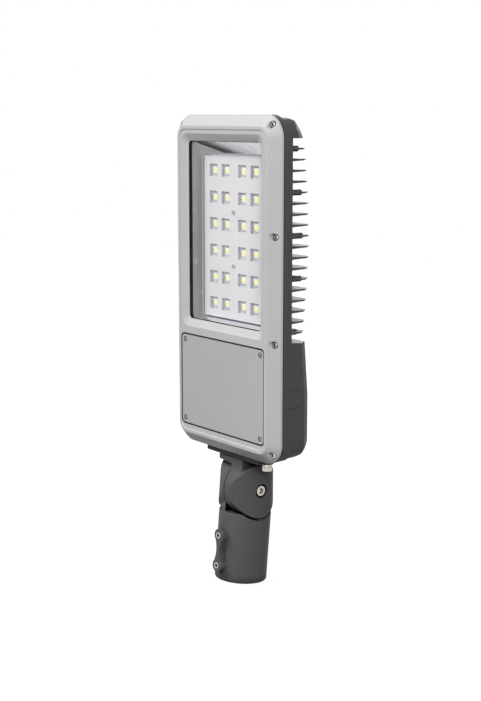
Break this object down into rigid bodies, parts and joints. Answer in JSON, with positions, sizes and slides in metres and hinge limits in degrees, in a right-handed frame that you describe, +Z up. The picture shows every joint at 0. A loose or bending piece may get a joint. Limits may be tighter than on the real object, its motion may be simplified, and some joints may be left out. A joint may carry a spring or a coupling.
{
  "type": "led street light head",
  "caption": "LED street light head: glazed LED window and screwed cover in a light frame, dark finned housing, toothed tilt knuckle on a pole socket.",
  "frame": {"origin": "centre of the pole socket's mouth", "axes": "+Z up along the socket's bore, the lit face looks along -Y, +X to the right seen from the front"},
  "size_m": [0.22, 0.1265, 0.6352],
  "materials": {
    "knuckle_paint": "satin powder coat on die-cast aluminium",
    "housing_paint": "satin powder coat on die-cast aluminium",
    "frame_paint": "satin powder coat on die-cast aluminium",
    "cover_paint": "satin powder coat on aluminium plate",
    "stainless": "bright, slightly warm",
    "grey_rubber": "matte",
    "black_rubber": "matte",
    "clear_glass": "clear flat pane",
    "reflector": "mirror-bright sheet",
    "white_plastic": "matte white",
    "board_white": "white solder mask",
    "package_white": "white ceramic-like",
    "phosphor": "matte yellow",
    "lens_clear": "clear moulded dome",
    "connector_plastic": "matte",
    "lead_sheath": "matte",
    "driver_case": "plain extrusion",
    "surge_plastic": "matte black",
    "gland_plastic": "matte black",
    "earth_brass": "plain"
  },
  "bodies": {
    "pole_side": {"pole_adapter": "knuckle_paint", "set_screws": "stainless", "pivot_bolt": "stainless", "pivot_washer": "stainless", "pivot_nut": "stainless"},
    "head": {"head_bracket": "knuckle_paint", "bracket_bolts": "stainless", "bracket_washers": "stainless", "spring_washers": "stainless", "rear_housing": "housing_paint", "front_frame": "frame_paint", "frame_gasket": "grey_rubber", "frame_screws": "stainless", "driver_cover": "cover_paint", "cover_gasket": "grey_rubber", "cover_screws": "stainless", "window_glass": "clear_glass", "glass_gasket": "black_rubber", "reflector_frame": "reflector", "lens_plate": "white_plastic", "lens_plate_screws": "stainless", "led_board": "board_white", "board_screws": "stainless", "led_packages": "package_white", "led_phosphors": "phosphor", "led_lenses": "lens_clear", "board_connector": "connector_plastic", "led_lead": "lead_sheath", "lead_grommet": "black_rubber", "led_driver": "driver_case", "driver_screws": "stainless", "surge_protector": "surge_plastic", "terminal_block": "connector_plastic", "cable_gland": "gland_plastic", "earth_screw": "earth_brass", "breather_vent": "gland_plastic"}
  },
  "joints": [
    {"name": "tilt", "type": "hinge", "parent": "pole_side", "child": "head", "pos_m": [0, 0, 0.13], "axis": [1, 0, 0], "range_deg": [-5, 85]}
  ]
}
